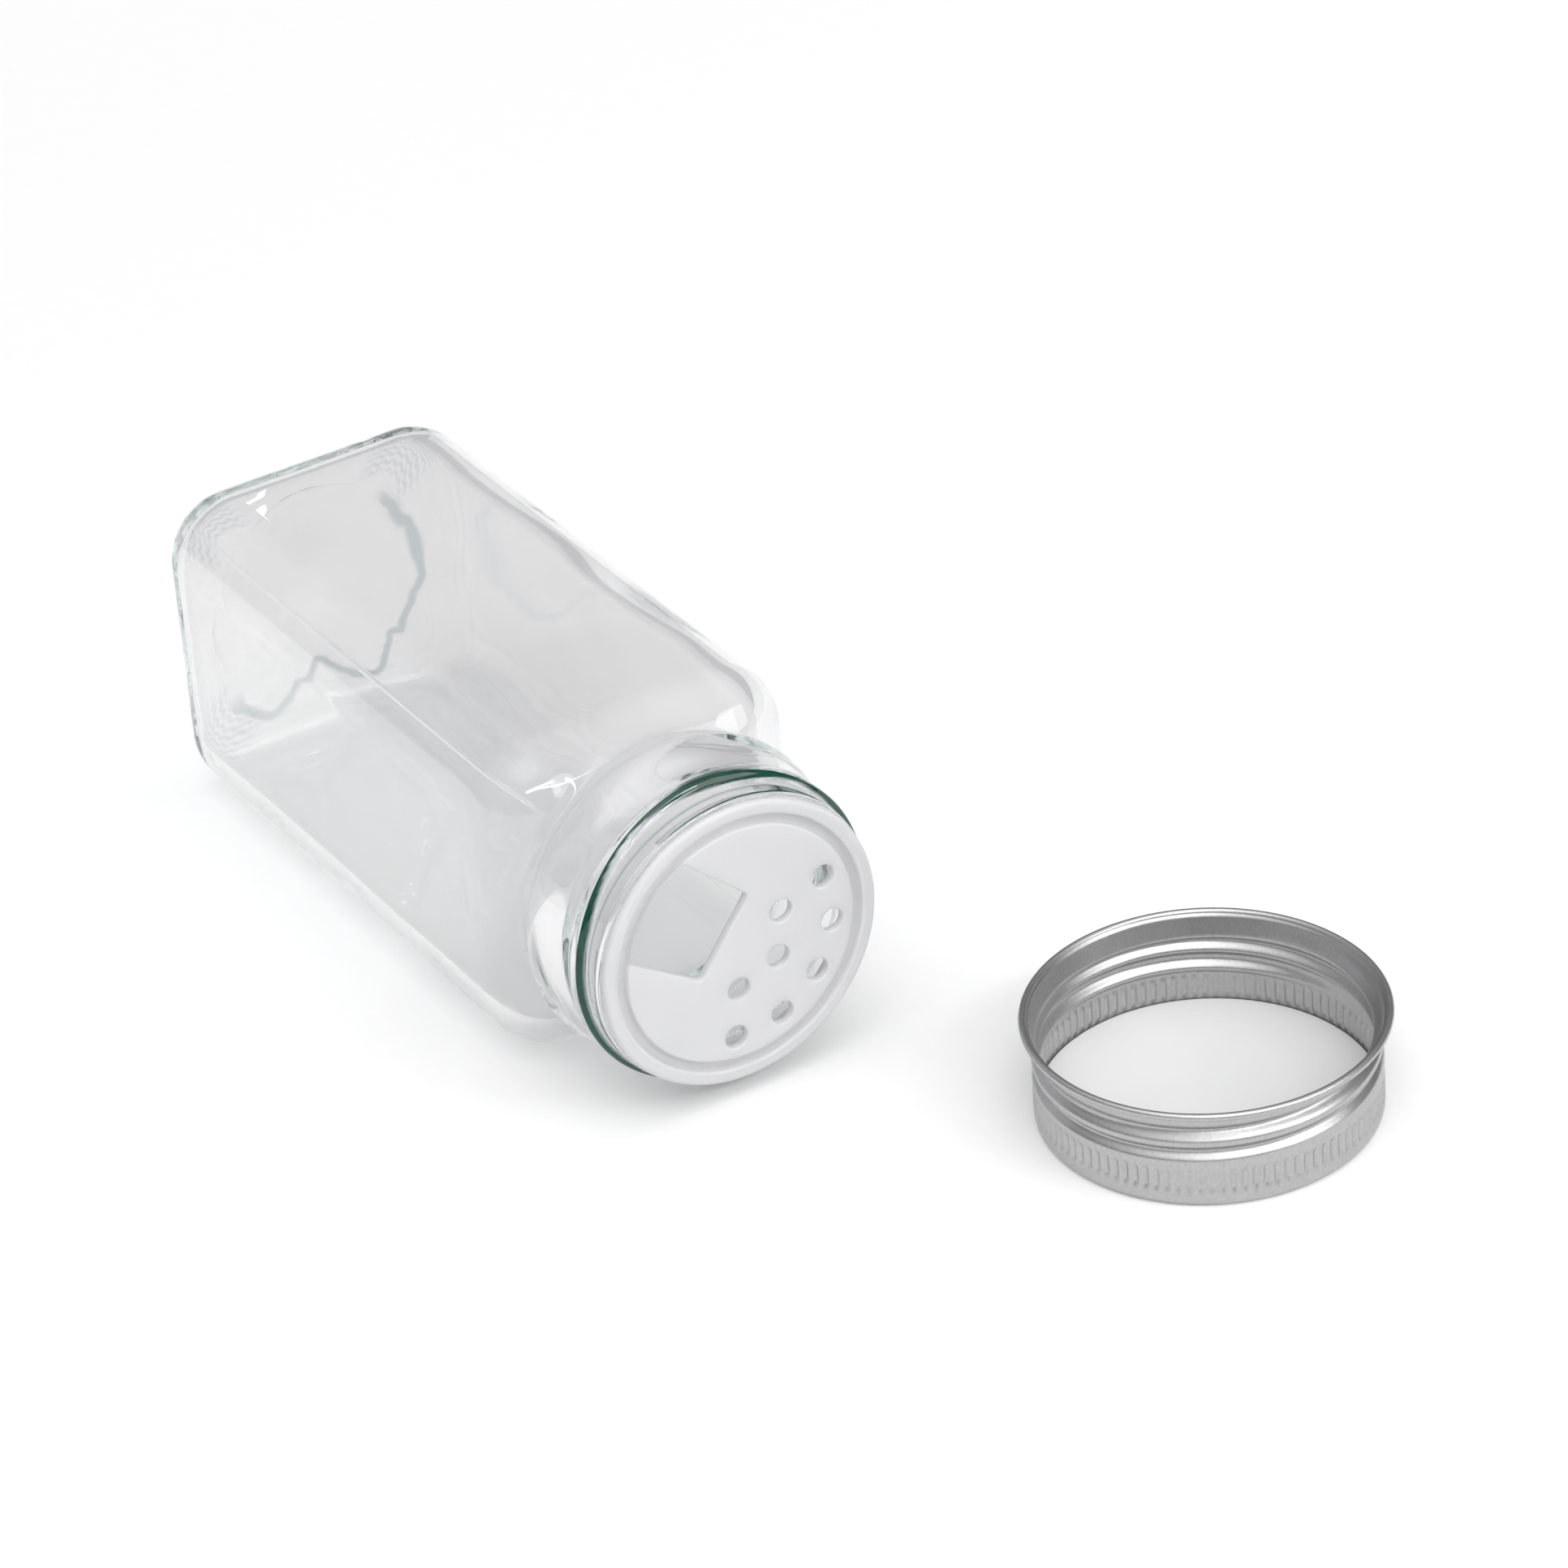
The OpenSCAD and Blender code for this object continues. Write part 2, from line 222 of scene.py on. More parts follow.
# Stage
FLOOR_HALF = 4.0
FLOOR_GLOW = 0.16
WHITE_FROM = 0.16
WHITE_TO = 0.5
SKY_LEAN = (0.25, -0.18, 0.951)
SKY_STOPS = ((0.0, 0.18), (0.4, 0.26), (0.6, 0.5), (0.8, 1.0), (0.9, 1.3), (0.97, 2.8), (1.0, 3.1))
SKY_BLUE = 1.01
THROUGH_STOPS = ((0.0, 0.66), (0.3, 0.80), (0.6, 0.94), (1.0, 1.0))
THROUGH_BLUE = 1.03
ACROSS = (0, 1, 0)
LAMPS = (
    ("key_strip", (0.775, -0.052, 0.65), (0.044, -0.014, 0.04), (0.80, 0.06), 1.7, ACROSS),
    ("long_glint", (-0.823, 0.3585, 0.5335), (-0.033, -0.012, 0.0445), (0.0105, 0.002), 0.0005,
     (0.15, 0.88, -0.445)),
    ("round_glint", (-0.8133, 0.3584, 0.5367), (-0.026, -0.013, 0.0445), (0.0035, 0.003), 0.0003,
     ACROSS),
    ("mouth_softbox", (0.75, 0.45, 0.45), (0.05, 0, 0.02), (0.5, 0.5), 2.4, ACROSS),
)
BOUNCES = 64
GLOSSY_BOUNCES = 48


def smooth_step(x):
    """0 below 0 and 1 above 1, with a soft rise between."""
    x = np.clip(x, 0.0, 1.0)
    return x * x * (3 - 2 * x)


def bell(x):
    """1 at 0, falling to 0 at -1 and 1 along a cosine."""
    return np.where(np.abs(x) < 1, 0.5 + 0.5 * np.cos(math.pi * np.clip(x, -1, 1)), 0.0)


def soft_max(a, b, k):
    """The larger of a and b, with a blend of width k where they meet."""
    h = np.clip(0.5 + 0.5 * (a - b) / k, 0, 1)
    return b + (a - b) * h + k * h * (1 - h)


def add_object(name, data):
    piece = bpy.data.objects.new(name, data)
    bpy.context.scene.collection.objects.link(piece)
    return piece


def mesh_from_rings(name, rings):
    """A closed surface through rings of points, shape (rings, count, 3), with a pole at each end."""
    rings = np.asarray(rings)
    n, m, _ = rings.shape
    i = np.arange(n - 1)[:, None] * m
    j = np.arange(m)[None, :]
    k = (j + 1) % m
    quads = np.stack([i + j, i + k, i + m + k, i + m + j], -1).reshape(-1, 4)
    faces = [tuple(q) for q in quads.tolist()]
    points = rings.reshape(-1, 3).tolist()
    first_pole, last_pole = len(points), len(points) + 1
    points += [rings[0].mean(0).tolist(), rings[-1].mean(0).tolist()]
    last = (n - 1) * m
    faces += [(first_pole, (a + 1) % m, a) for a in range(m)]
    faces += [(last_pole, last + a, last + (a + 1) % m) for a in range(m)]
    mesh = bpy.data.meshes.new(name)
    mesh.from_pydata(points, [], faces)
    mesh.validate()
    mesh.polygons.foreach_set("use_smooth", [True] * len(mesh.polygons))
    mesh.update()
    return add_object(name, mesh)


def face_outwards(piece):
    """Turns the faces of a closed piece so that they look out of it."""
    work = bmesh.new()
    work.from_mesh(piece.data)
    bmesh.ops.recalc_face_normals(work, faces=work.faces)
    if work.calc_volume(signed=True) < 0:
        bmesh.ops.reverse_faces(work, faces=work.faces)
    work.to_mesh(piece.data)
    work.free()


def arc(centre_r, centre_h, radius, start, end, steps):
    """Points (r, h) on an arc, angles in degrees from the outward direction towards the mouth."""
    angles = np.radians(np.linspace(start, end, steps))
    return [(centre_r + radius * math.cos(a), centre_h + radius * math.sin(a)) for a in angles]


# Glass jar

def jar_angles():
    """Directions round the jar's axis, closer together at the corners and beside the mould seams."""
    u = np.arange(JAR_COUNT) * 2 * math.pi / JAR_COUNT
    spread_out = u + CORNER_CROWD / 4 * np.sin(4 * u)
    beside = np.array((-0.5, -0.32, -0.16, 0.16, 0.32, 0.5)) * MM / DIAGONAL
    seams = [math.radians(turn) + beside for turn in SEAM_TURNS]
    return np.sort(np.concatenate([spread_out, *seams]))


PHI = jar_angles()


def seam():
    """The mould seam's height in each direction: a fine ridge along two opposite corners."""
    total = np.zeros_like(PHI)
    for turn in SEAM_TURNS:
        off = (PHI - math.radians(turn)) * DIAGONAL
        total = total + SEAM_PROUD * (1 if turn < 180 else 0.5) * bell(off / SEAM_HALF_W)
    return total


def square_reach(half, corner_r):
    """Distance from the axis to a rounded square, in each direction of PHI."""
    c = half - corner_r
    turn = np.mod(PHI + math.pi / 4, math.pi / 2) - math.pi / 4
    along = np.abs(turn)
    flat = half / np.cos(along)
    side = half * np.tan(along)
    corner = c * (np.cos(along) + np.sin(along)) + np.sqrt(
        np.maximum(corner_r ** 2 - c ** 2 * (1 - np.sin(2 * along)), 0)
    )
    return np.where(side <= c, flat, corner)


def corner_window(width_deg):
    """1 in the direction of each corner, falling to 0 at width_deg beside it."""
    turn = np.mod(PHI, math.pi / 2) - math.pi / 4
    return bell(np.degrees(turn) / width_deg)


def inner_wave(h):
    """The slow waviness of the inner wall, round the jar and along it."""
    h = h / (10 * MM)
    total = 0
    for n, (k, w) in enumerate(BODY_WAVES):
        total = total + w * np.sin(k * PHI + 1.7 + 2.1 * n + 0.45 * (n + 1) * h + 0.7 * np.sin(h + n))
    return total * INNER_WAVE


def ring(radius, height):
    """A ring of points at a height along the jar's axis from its foot."""
    radius = np.broadcast_to(radius, PHI.shape)
    height = np.broadcast_to(height, PHI.shape)
    return np.stack([JAR_LOW.x + height, radius * np.cos(PHI), AXIS_Z + radius * np.sin(PHI)], -1)


def heel_rows(distance):
    """Small scallops at the heel's four corners, 0 to 1, by the distance from the foot's edge."""
    scallop = 0.2 * np.sin(PHI * 90) + 0.08 * np.sin(PHI * 23 + 1)
    reach = smooth_step((distance + 5 * MM) / (2 * MM)) * smooth_step((7.5 * MM - distance) / (3 * MM))
    wave = 0.5 + 0.5 * np.sin(2 * math.pi * (distance / ROW_STEP + scallop))
    faint = 1 - 0.85 * bell((np.degrees(PHI) - 315) / 40)
    return smooth_step(1.4 * corner_window(24)) * reach * wave * faint


def outer_base_rings():
    """The rings of the foot and the heel, and the strength of the scallops at each point."""
    rings, rows = [], []
    for r in np.linspace(0.05, 1, 13) * PUSH_UP_R:
        dome = PUSH_UP_DEPTH * (1 - smooth_step(r / PUSH_UP_R))
        rings.append(ring(r, dome))
        rows.append(np.zeros_like(PHI))
    foot = square_reach(BODY_W / 2 - HEEL_R, CORNER_R - HEEL_R)
    for t in np.linspace(0.03, 1, 26):
        reach = PUSH_UP_R + (foot - PUSH_UP_R) * t
        rows.append(heel_rows(reach - foot))
        rings.append(ring(reach, ROW_PROUD * rows[-1] + FOOT_RISE))
    for a in np.linspace(0, 90, 34)[1:]:
        out, up = math.sin(math.radians(a)), 1 - math.cos(math.radians(a))
        inset = HEEL_R * (1 - out)
        rows.append(heel_rows(math.radians(a) * HEEL_R))
        groove = ROW_PROUD * rows[-1]
        reach = square_reach(BODY_W / 2 - inset, CORNER_R - inset) - groove * out
        rings.append(ring(reach, HEEL_R * up + groove * (1 - out)))
    return rings, rows


def outer_side_rings():
    """The rings of the panels and corners, from the heel up to the shoulder."""
    rings = []
    low, high = HEEL_R, BODY_H - SHOULDER_R
    reach = square_reach(BODY_W / 2, CORNER_R)
    for t in np.linspace(0, 1, 34)[1:-1]:
        h = low + (high - low) * t
        rings.append(ring(reach - PANEL_BOW * math.sin(math.pi * t) + seam(), h))
    return rings


def outer_shoulder_rings():
    """The rings of the shoulder, which blends into the neck."""
    rings = []
    for a in np.linspace(0, 90, 26):
        up, inset = math.sin(math.radians(a)), SHOULDER_R * (1 - math.cos(math.radians(a)))
        h = BODY_H - SHOULDER_R + SHOULDER_R * up
        body = square_reach(BODY_W / 2 - inset, CORNER_R - inset) + seam()
        lift = SHOULDER_LIFT * (1 - math.cos(math.radians(a)))
        rings.append(ring(soft_max(body, NECK_R, SHOULDER_BLEND), h + lift))
    return rings


def thread_height(h):
    """How far the glass thread stands out at a height, in each direction."""
    local = np.mod(np.degrees(PHI) + 90, 360) / 360
    total = np.zeros_like(PHI)
    for turn in range(2):
        t = local + turn
        centre = GLASS_H - THREAD_START + PITCH * (t - THREAD_TURNS)
        fade = smooth_step(np.minimum(8 * t, 8 * (THREAD_TURNS - t)))
        total = np.maximum(total, THREAD_PROUD * fade * bell((h - centre) / THREAD_HALF_W))
    return total


def ring_height():
    """Height of the neck's ring in each direction: it runs a little lower at the top."""
    return RING_H + RING_LIFT - RING_DROP * bell((np.degrees(PHI) - 95) / 75)


def neck_rings():
    """The rings of the collar, the ring bead and the thread."""
    rings = []
    below = np.linspace(NECK_FOOT_H, NECK_MIDDLE_H, 22)
    above = np.linspace(NECK_MIDDLE_H, GLASS_H - LIP_R, 48)
    for h in np.concatenate([below, above[1:]]):
        slope = COLLAR_RISE if h < COLLAR_H else COLLAR_FALL
        collar = (COLLAR_R - NECK_R) * bell((h - COLLAR_H) / slope)
        bead = RING_PROUD * bell((h - ring_height()) / RING_HALF_W)
        rings.append(ring(NECK_R + collar + np.maximum(thread_height(h), bead), h))
    return rings


def lip_rings():
    points = arc(NECK_R - LIP_R, GLASS_H - LIP_R, LIP_R, 10, 90, 8)
    points += arc(BORE_R + LIP_IN_R, GLASS_H - LIP_IN_R, LIP_IN_R, 90, 180, 8)
    return [ring(r, h) for r, h in points]


def settle_edge():
    """Radius in each direction of the uneven step where the thicker middle of the base begins."""
    at, reach = zip(*SETTLE_COURSE)
    radius = sum(np.interp(np.degrees(PHI) + off, at, reach, period=360) for off in (-2.5, 0, 2.5)) / 3
    radius = radius + 0.12 * np.sin(23 * PHI) + 0.08 * np.sin(41 * PHI)
    return np.minimum(radius * MM, inner_side() - INNER_HEEL_R - SETTLE_CLEAR)


def settle_distance(points):
    """Distance of a ring's points from the settle line, across the jar's axis."""
    edge = settle_edge()
    line = np.stack([edge * np.cos(PHI), edge * np.sin(PHI)], -1)
    line = np.concatenate([line, line[:1]])
    steps = np.arange(0, len(line) - 1, 0.25)
    fine = np.stack([np.interp(steps, np.arange(len(line)), line[:, k]) for k in (0, 1)], -1)
    flat = points[:, 1:] - (0, AXIS_Z)
    return np.sqrt(((flat[:, None] - fine[None]) ** 2).sum(-1)).min(1)


def inner_side():
    """Distance from the axis to the inner wall, in each direction."""
    return square_reach(INNER_HALF, INNER_CORNER_R)


def floor_height(r, edge):
    """Height of the base's inner face at a radius in each direction, with the step at edge."""
    inside = edge - r
    step = SETTLE_STEP * smooth_step(0.5 + 0.5 * inside / SETTLE_HALF_W)
    dip = SETTLE_DIP * bell((inside + SETTLE_HALF_W) / SETTLE_HALF_W)
    return BASE_T + step - dip + INNER_DOME * smooth_step(1.2 * inside / edge)


def inner_rings():
    """The rings of the inner wall, from the mouth down to the middle of the base."""
    rings = []
    high = INNER_TOP - INNER_SHOULDER_R
    low = BASE_T + INNER_HEEL_R
    for h in np.linspace(BORE_TOP_H, BORE_FOOT_H, 22):
        uneven = BORE_SWAY * np.sin(3 * PHI + 1) * smooth_step((GLASS_H - 7 * MM - h) / (4 * MM))
        rings.append(ring(BORE_R + uneven, h))
    for a in np.linspace(90, 0, 20):
        up, inset = math.sin(math.radians(a)), INNER_SHOULDER_R * (1 - math.cos(math.radians(a)))
        h = high + INNER_SHOULDER_R * up
        body = square_reach(INNER_HALF - inset, INNER_CORNER_R - inset)
        rings.append(ring(soft_max(body, BORE_R, INNER_SHOULDER_BLEND), h + INNER_SHOULDER_LIFT * up))
    side = inner_side()
    for t in np.linspace(0, 1, 30)[1:-1]:
        h = high + (low - high) * t
        ease = smooth_step(t * 6) * smooth_step((1 - t) * 6)
        rings.append(ring(side + inner_wave(h) * ease, h))
    edge = settle_edge()
    foot = side - INNER_HEEL_R
    for a in np.radians(np.linspace(0, 90, 14)):
        r = foot + INNER_HEEL_R * math.cos(a)
        h = low + (floor_height(foot, edge) - low) * math.sin(a)
        rings.append(ring(r, h))
    step_out = edge + SETTLE_OUT
    for t in np.linspace(0, 1, 6)[1:]:
        r = foot + (step_out - foot) * t
        rings.append(ring(r, floor_height(r, edge)))
    for off in np.linspace(SETTLE_OUT, -SETTLE_IN, 15)[1:]:
        rings.append(ring(edge + off, floor_height(edge + off, edge)))
    for t in np.linspace(0, 1, 14)[1:-1]:
        r = (edge - SETTLE_IN) * (1 - t)
        rings.append(ring(r, floor_height(r, edge)))
    return rings


def painted_shade_shares(rings, rows):
    """Painted shade on the glass at each point, 0 to 1: a dark ring and a fine line round the neck, the
    settle line and the scallops.
    """
    h = rings[..., 0] - JAR_LOW.x
    r = np.hypot(rings[..., 1], rings[..., 2] - AXIS_Z)
    outside = r > NECK_R - 0.3 * MM
    turn = np.degrees(PHI)
    # Painted shade round the neck: a near-black ring over the ring bead, wider in some directions, and
    # a fine dark line above it.
    wide = 1.25 + 0.5 * bell((turn - 75) / 45) - 0.75 * bell((turn - 125) / 40)
    neck = smooth_step(2.2 * bell((h - ring_height()) / (RING_HALF_W * wide))) * outside
    line = FINE_LINE_PAINTED_SHADE * bell((h - FINE_LINE_H) / FINE_LINE_HALF_W) * outside
    shares = np.maximum(neck, line)
    # Painted shade over the heel's scallops, darker glass colour on their ridges; the ridges' relief
    # itself is real.
    shares[:len(rows)] = ROW_PAINTED_SHADE * np.square(rows)
    # Painted shade along the settle line, darker glass colour about its course, only from about -146 to
    # 54 degrees round the axis.
    turn = np.mod(turn + 180, 360) - 180
    seen = smooth_step((turn + 146) / 10) * smooth_step((54 - turn) / 12)
    wider = 0.5 * bell((turn - 34) / 24) + 0.2 * bell((turn + 76) / 12)
    half = SETTLE_PAINTED_SHADE_HALF_W + wider * MM
    inner = np.arange(len(rings)) > len(rings) // 2
    for k in np.flatnonzero(inner & (h.max(1) < BASE_T + 3 * MM)):
        shares[k] = SETTLE_PAINTED_SHADE * seen * smooth_step(1.15 * bell(settle_distance(rings[k]) / half))
    return shares


def make_jar():
    rings, rows = outer_base_rings()
    rings += outer_side_rings() + outer_shoulder_rings()
    rings += neck_rings() + lip_rings() + inner_rings()
    rings = np.asarray(rings)
    piece = mesh_from_rings("glass_jar_blown", rings)
    # Painted shade: darker glass colour round the neck, along the settle line and over the scallops,
    # stored per point.
    shares = np.concatenate([painted_shade_shares(rings, rows).ravel(), (0, 0)])
    painted_shade = piece.data.attributes.new("painted_shade", "FLOAT", "POINT")
    painted_shade.data.foreach_set("value", shares)
    face_outwards(piece)
    return piece


# Sifter insert

def lathe_x(name, profile, count):
    """Turns (r, h) points about the jar's axis, h from the jar's foot."""
    angles = np.arange(count) * 2 * math.pi / count
    rings = [
        np.stack([np.full(count, JAR_LOW.x + h), r * np.cos(angles), AXIS_Z + r * np.sin(angles)], -1)
        for r, h in profile
    ]
    return mesh_from_rings(name, rings)


def insert_profile():
    """The insert's section as (r, h) points, from the deck's top round to its underside."""
    top = INSERT_TOP
    under = top - FLANGE_T
    edge = FLANGE_T / 2
    small = EDGE_SMALL
    soft = EDGE_SOFT
    groove_out = DECK_R + GROOVE_W
    step_r = FLANGE_STEP_R
    points = [(r * MM, top) for r in (0.4, 2, 5, 9, 13)]
    points += arc(DECK_R - soft, top - soft, soft, 90, 0, 5)
    points += arc(DECK_R + soft, top - GROOVE_DEPTH + soft, soft, 180, 270, 5)
    points += arc(groove_out - soft, top - GROOVE_DEPTH + soft, soft, 270, 360, 5)
    points += arc(groove_out + soft, top - soft, soft, 180, 90, 5)
    points += [(step_r - 0.1 * MM, top), (step_r, top - 0.05 * MM)]
    points += [(step_r + 0.1 * MM, top - 0.06 * MM)]
    points += arc(FLANGE_R - edge, top - edge, edge, 88, -90, 16)
    points += arc(SKIRT_R + small, under - small, small, 90, 180, 4)
    points += [(SKIRT_R, under - SKIRT_H / 2)]
    points += arc(SKIRT_R - small * 2, under - SKIRT_H + small * 2, small * 2, 0, -90, 5)
    points += arc(SKIRT_R - SKIRT_T + small, under - SKIRT_H + small, small, -90, -180, 4)
    points += [(SKIRT_R - SKIRT_T, under - SKIRT_H / 2)]
    points += arc(SKIRT_R - SKIRT_T - small, top - DECK_T - small, small, 0, 90, 4)
    points += [(r * MM, top - DECK_T) for r in (13, 9, 5, 2, 0.4)]
    return points


def cutter(name, outline, levels):
    """A cutter along the jar's axis: outline(grow) gives (y, z) points, levels are (height, grow)."""
    rings = []
    for h, grow in levels:
        flat = np.array(outline(grow))
        rings.append(np.stack([np.full(len(flat), JAR_LOW.x + h), flat[:, 0], AXIS_Z + flat[:, 1]], -1))
    piece = mesh_from_rings(name, rings)
    face_outwards(piece)
    return piece


def rounding(top, under, radius):
    """Levels of a cutter that rounds the upper rim of the hole that it cuts through a plate."""
    levels = [(under - 2 * radius, 0)]
    for a in np.radians((0, 20, 40, 60, 80)):
        levels.append((top - radius + radius * math.sin(a), radius * (1 - math.cos(a))))
    return levels + [(top + 2 * radius, 1.6 * radius)]


def round_outline(centre_y, centre_z, radius, count=40):
    """A round hole's outline."""
    def outline(grow):
        return [
            (centre_y + (radius + grow) * math.cos(a), centre_z + (radius + grow) * math.sin(a))
            for a in np.arange(count) * 2 * math.pi / count
        ]
    return outline


def turned(x, y, degrees):
    """The point (x, y) turned about the axis."""
    c, s = math.cos(math.radians(degrees)), math.sin(math.radians(degrees))
    return x * c - y * s, x * s + y * c


def pour_outline(reach):
    """The pour opening's outline, with rounded inner corners and a rim along the deck's edge."""
    slope = (POUR_HALF_OUT - POUR_HALF_IN) / (DECK_R - POUR_EDGE)
    corner = POUR_CORNER_R

    def outline(grow):
        points = []
        edge = POUR_EDGE - grow
        half = POUR_HALF_IN + grow
        for a in np.linspace(180, 270, 6):
            points.append((edge + corner + corner * math.cos(math.radians(a)),
                           -half + corner + corner * math.sin(math.radians(a))))
        end_half = half + slope * (reach - edge)
        end_angle = math.asin(min(end_half / (reach + grow), 1)) * 0.985
        for a in np.linspace(-end_angle, end_angle, 28):
            points.append(((reach + grow) * math.cos(a), (reach + grow) * math.sin(a)))
        for a in np.linspace(90, 180, 6):
            points.append((edge + corner + corner * math.cos(math.radians(a)),
                           half - corner + corner * math.sin(math.radians(a))))
        return [turned(x, y, HOLES_MIDDLE + 180) for x, y in points]
    return outline


def cut_away(piece, cutters):
    """Cuts the cutters out of the piece for good and removes them."""
    for tool in cutters:
        step = piece.modifiers.new("cut", "BOOLEAN")
        step.operation = "DIFFERENCE"
        step.solver = "EXACT"
        step.object = tool
    dg = bpy.context.evaluated_depsgraph_get()
    mesh = bpy.data.meshes.new_from_object(piece.evaluated_get(dg))
    piece.modifiers.clear()
    piece.data = mesh
    for tool in cutters:
        bpy.data.objects.remove(tool)


def make_insert():
    piece = lathe_x("sifter_insert_moulded", insert_profile(), INSERT_COUNT)
    face_outwards(piece)
    levels = rounding(INSERT_TOP, INSERT_TOP - DECK_T, HOLE_RIM_R)
    tools = []
    for arc_r, count, step in HOLE_ARCS:
        for k in range(count):
            angle = math.radians(HOLES_MIDDLE + (k - (count - 1) / 2) * step)
            outline = round_outline(arc_r * math.cos(angle), arc_r * math.sin(angle), HOLE_R)
            tools.append(cutter("hole_tool", outline, levels))
    tools.append(cutter("pour_tool", pour_outline(POUR_REACH), levels))
    notch_low = INSERT_TOP - FLANGE_T - SKIRT_H - 1 * MM
    notch = [(notch_low, 0), (INSERT_TOP - FLANGE_T, 0)]
    tools.append(cutter("notch_tool", pour_outline(NOTCH_REACH), notch))
    cut_away(piece, tools)
    piece.data.polygons.foreach_set("use_smooth", [True] * len(piece.data.polygons))
    piece.data.set_sharp_from_angle(angle=math.radians(38))
    weighted = piece.modifiers.new("weighted", "WEIGHTED_NORMAL")
    weighted.keep_sharp = True
    return piece


# Cap

def rib_dip(z):
    """How far the knurl's grooves go in at height z, round the cap."""
    low_edge, high_edge = KNURL_EDGE, KNURL_EDGE * 1.6
    band = smooth_step((z - KNURL_LOW) / low_edge) * smooth_step((KNURL_HIGH - z) / high_edge)
    wave = np.tanh(1.6 * np.cos(RIBS * THETA)) / math.tanh(1.6)
    strength = 0.82 + 0.18 * np.sin(3 * THETA + 0.6) * np.sin(7 * THETA)
    return RIB_DEPTH * band * strength * (0.5 - 0.5 * wave)


def roll_dip(z):
    """How far the rolled thread goes in at height z, round the cap."""
    total = np.zeros_like(THETA)
    turn = np.mod(np.degrees(THETA) - FRONT_ANGLE, 360) / 360
    for n in (-2, -1, 0, 1):
        t = turn + n
        centre = RIM_Z - ROLL_FRONT + PITCH * t
        fade = smooth_step((t + 1.68) / 0.16) * smooth_step((0.5 - t) / 0.3)
        total = np.maximum(total, ROLL_DEPTH * fade * bell((z - centre) / ROLL_HALF_W))
    return total


def cap_ring(r, z, dips):
    """A ring of the cap at radius r and height z, with knurls and thread where dips is true."""
    wall = r - (rib_dip(z) + roll_dip(z) if dips else 0)
    wall = np.broadcast_to(wall, THETA.shape)
    height = np.full(CAP_COUNT, z)
    return np.stack([CAP_X + wall * np.cos(THETA), CAP_Y + wall * np.sin(THETA), height], -1)


def wall_heights():
    """Heights of the cap's rings through the knurls and the rolled thread."""
    knurl = np.linspace(KNURL_LOW, KNURL_HIGH, 11)
    roll = np.linspace(KNURL_HIGH + 0.4 * MM, RIM_Z - FLARE_H, 30)
    return np.concatenate([knurl, roll])


def flare_points(inward):
    """(r, z) points up the flared band, from the wall to the curl."""
    top = RIM_Z - 0.05 * MM
    foot_z = RIM_Z - FLARE_H
    foot_r = CAP_R - FLARE_IN
    reach = RIM_R - 2 * CURL_R + 0.1 * MM - foot_r
    points = []
    for t in np.linspace(0, 1, 8)[1:]:
        points.append((foot_r + reach * t - inward, foot_z + (top - foot_z) * t))
    return points


def wall_radius(z):
    """The wall's radius below the flare, drawn in a little where the flare begins."""
    return CAP_R - FLARE_IN * (1 - smooth_step((RIM_Z - FLARE_H - z) / FLARE_EASE))


def panel_height(r):
    """How far the cap's top panel stands off the floor, r in millimetres."""
    return PANEL_RISE * (1 - (r / 20) ** 4)


def make_cap():
    edge_mid = CAP_R - CAP_EDGE_R
    outer = [(r * MM, panel_height(r), False) for r in (0.5, 6, 12, 17, 20)]
    outer += [(r, z + CAP_EDGE_R, False) for r, z in arc(edge_mid, 0, CAP_EDGE_R, -90, 0, 7)]
    outer += [(wall_radius(z), z, True) for z in wall_heights()]
    outer += [(r, z, True) for r, z in flare_points(0)]
    curl_mid = RIM_R - CURL_R
    outer += [(r, z, False) for r, z in arc(curl_mid, RIM_Z, CURL_R, -120, 180, 16)]
    inner = [(r, z, True) for r, z in reversed(flare_points(SHEET))]
    inner += [(wall_radius(z) - SHEET, z, True) for z in wall_heights()[::-1]]
    small = CAP_EDGE_R - SHEET
    inner += [(r, z + CAP_EDGE_R, False) for r, z in arc(edge_mid, 0, small, 0, -90, 5)]
    inner += [(r * MM, SHEET + panel_height(r), False) for r in (20, 10, 0.5)]
    rings = [cap_ring(r, z, dips) for r, z, dips in outer + inner]
    piece = mesh_from_rings("screw_cap_pressed", rings)
    face_outwards(piece)
    return piece


def make_liner():
    low, high = LINER_LOW.z, LINER_HIGH.z
    low_edge, high_edge = LINER_LOW_EDGE_R, LINER_HIGH_EDGE_R
    points = [(1 * MM, low), (LINER_R * 0.6, low), (LINER_R - low_edge - 0.05 * MM, low)]
    points += arc(LINER_R - low_edge, low + low_edge, low_edge, -80, 0, 5)
    points += arc(LINER_R - high_edge, high - high_edge, high_edge, 0, 90, 5)
    points += [(LINER_R * t, high) for t in (0.97, 0.9, 0.75, 0.5, 0.25, 0.05)]
    angles = np.arange(LINER_COUNT) * 2 * math.pi / LINER_COUNT
    rings = [
        np.stack([CAP_X + r * np.cos(angles), CAP_Y + r * np.sin(angles), np.full(LINER_COUNT, z)], -1)
        for r, z in points
    ]
    piece = mesh_from_rings("cap_liner_disc", rings)
    face_outwards(piece)
    return piece


# Materials

def new_material(name):
    material = bpy.data.materials.new(name)
    material.use_nodes = True
    nodes = material.node_tree.nodes
    return material, nodes, material.node_tree.links, nodes["Principled BSDF"]


